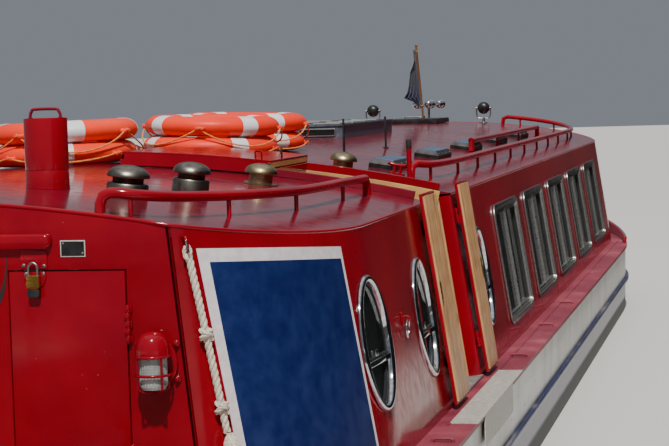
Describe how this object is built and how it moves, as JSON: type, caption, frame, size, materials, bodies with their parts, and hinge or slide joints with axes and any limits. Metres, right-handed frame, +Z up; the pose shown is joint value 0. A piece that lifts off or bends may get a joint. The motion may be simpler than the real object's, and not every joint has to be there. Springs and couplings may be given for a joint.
{
  "type": "wide-beam steel canal trip boat, narrowboat style",
  "caption": "Wide-beam steel canal trip boat of narrowboat style, with an open side hatch, roof rails, life rings and a stern tiller.",
  "frame": {"origin": "middle of the hull's flat bottom: centreline, half the overall length, on the baseline", "axes": "+X to starboard, +Y to the bow, +Z up; the flat bottom lies on z = 0"},
  "size_m": [4.0202, 16.4239, 2.9908],
  "materials": {
    "cabin_red": "gloss coach enamel, deep crimson",
    "roof_red": "gloss enamel, maroon",
    "hull_paint": "gloss enamel: grey-white band over dark blue, black blacking below",
    "bottom_black": "matt bitumen blacking",
    "deck_red": "satin non-slip paint, faded",
    "black_paint": "satin black",
    "bare_steel": "worn steel",
    "chrome": "polished",
    "aluminium": "milled, weathered",
    "bronze": "cast, tarnished",
    "window_glass": "dark tinted safety glass",
    "engine_iron": "painted casting",
    "pine": "varnished pine",
    "floor_wood": "varnished boards",
    "bench_cloth": "woven upholstery",
    "ring_shell": "moulded shell with white reflective bands",
    "rope_white": "laid cotton rope, weathered",
    "flag_cloth": "woven polyester",
    "sign_vinyl": "printed vinyl, blank with a white border"
  },
  "bodies": {
    "boat": {"hull_bottom": "bottom_black", "hull_stern": "hull_paint", "hull_bow": "hull_paint", "hull_side_starboard": "hull_paint", "hull_side_port": "hull_paint", "aft_deck": "deck_red", "fore_deck": "deck_red", "side_deck_starboard": "deck_red", "side_deck_port": "deck_red", "bow_bulwark": "cabin_red", "cabin_floor": "floor_wood", "bench_starboard": "bench_cloth", "bench_port": "bench_cloth", "engine": "engine_iron", "cabin_side_starboard_aft": "cabin_red", "cabin_side_starboard_fore": "cabin_red", "cabin_side_port": "cabin_red", "cabin_end_aft": "cabin_red", "cabin_end_fore": "cabin_red", "roof_aft": "roof_red", "roof_fore": "roof_red", "hatch_coamings": "roof_red", "handrail_starboard_aft": "roof_red", "handrail_starboard_fore": "roof_red", "handrail_port_aft": "roof_red", "handrail_port_fore": "roof_red", "handrail_inner": "roof_red", "chimney": "roof_red", "skylight": "aluminium", "life_rings_port": "ring_shell", "life_rings_middle": "ring_shell", "life_rings_fore": "ring_shell", "flag_staff": "floor_wood", "horns": "chrome", "flag": "flag_cloth", "bulkhead_lamp": "cabin_red", "side_sign": "sign_vinyl", "fender_rope": "rope_white", "rope_fender": "rope_white", "tread_plate": "aluminium", "glazing_starboard": "window_glass", "glazing_port": "window_glass"},
    "aft_leaf": {"side_door_aft": "cabin_red"},
    "fore_leaf": {"side_door_fore": "cabin_red"},
    "cover": {"hatch_cover": "cabin_red"},
    "slab": {"fore_hatch": "black_paint"},
    "aft_door_right": {"aft_door_starboard": "cabin_red"},
    "aft_door_left": {"aft_door_port": "cabin_red"},
    "fore_door_right": {"fore_door_starboard": "cabin_red"},
    "fore_door_left": {"fore_door_port": "cabin_red"},
    "locker_leaf": {"locker_door": "cabin_red"},
    "steering": {"rudder": "bottom_black", "tiller": "bare_steel"},
    "screw": {"propeller": "bronze"}
  },
  "joints": [
    {"name": "side_door_aft_swing", "type": "hinge", "parent": "boat", "child": "aft_leaf", "pos_m": [1.84287, -4.165, 1.15173], "axis": [-0.144, 0, 0.9896], "range_deg": [0, 180]},
    {"name": "side_door_fore_swing", "type": "hinge", "parent": "boat", "child": "fore_leaf", "pos_m": [1.84287, -3.49, 1.15173], "axis": [0.144, 0, -0.9896], "range_deg": [0, 180]},
    {"name": "hatch_cover_travel", "type": "hinge", "parent": "boat", "child": "cover", "pos_m": [0, -3.8275, -5.31946], "axis": [0, 1, 0], "range_deg": [0, 5.12]},
    {"name": "fore_hatch_travel", "type": "slide", "parent": "boat", "child": "slab", "axis": [0, -1, 0], "range_m": [0, 0.55]},
    {"name": "aft_door_starboard_swing", "type": "hinge", "parent": "boat", "child": "aft_door_right", "pos_m": [0.453, -6.762, 1.62], "axis": [0, 0, 1], "range_deg": [0, 95]},
    {"name": "aft_door_port_swing", "type": "hinge", "parent": "boat", "child": "aft_door_left", "pos_m": [-0.453, -6.762, 1.62], "axis": [0, 0, -1], "range_deg": [0, 95]},
    {"name": "fore_door_starboard_swing", "type": "hinge", "parent": "boat", "child": "fore_door_right", "pos_m": [0.453, 5.962, 1.62], "axis": [0, 0, -1], "range_deg": [0, 95]},
    {"name": "fore_door_port_swing", "type": "hinge", "parent": "boat", "child": "fore_door_left", "pos_m": [-0.453, 5.962, 1.62], "axis": [0, 0, 1], "range_deg": [0, 95]},
    {"name": "locker_door_swing", "type": "hinge", "parent": "boat", "child": "locker_leaf", "pos_m": [1.116, -6.762, 1.6], "axis": [0, 0, 1], "range_deg": [0, 90]},
    {"name": "steering_turn", "type": "hinge", "parent": "boat", "child": "steering", "pos_m": [0, -7.86, 0.6], "axis": [0, 0, 1], "range_deg": [-35, 35]},
    {"name": "propeller_turn", "type": "hinge", "parent": "boat", "child": "screw", "pos_m": [0, -7.6065, 0.29], "axis": [0, 1, 0], "continuous": true}
  ]
}
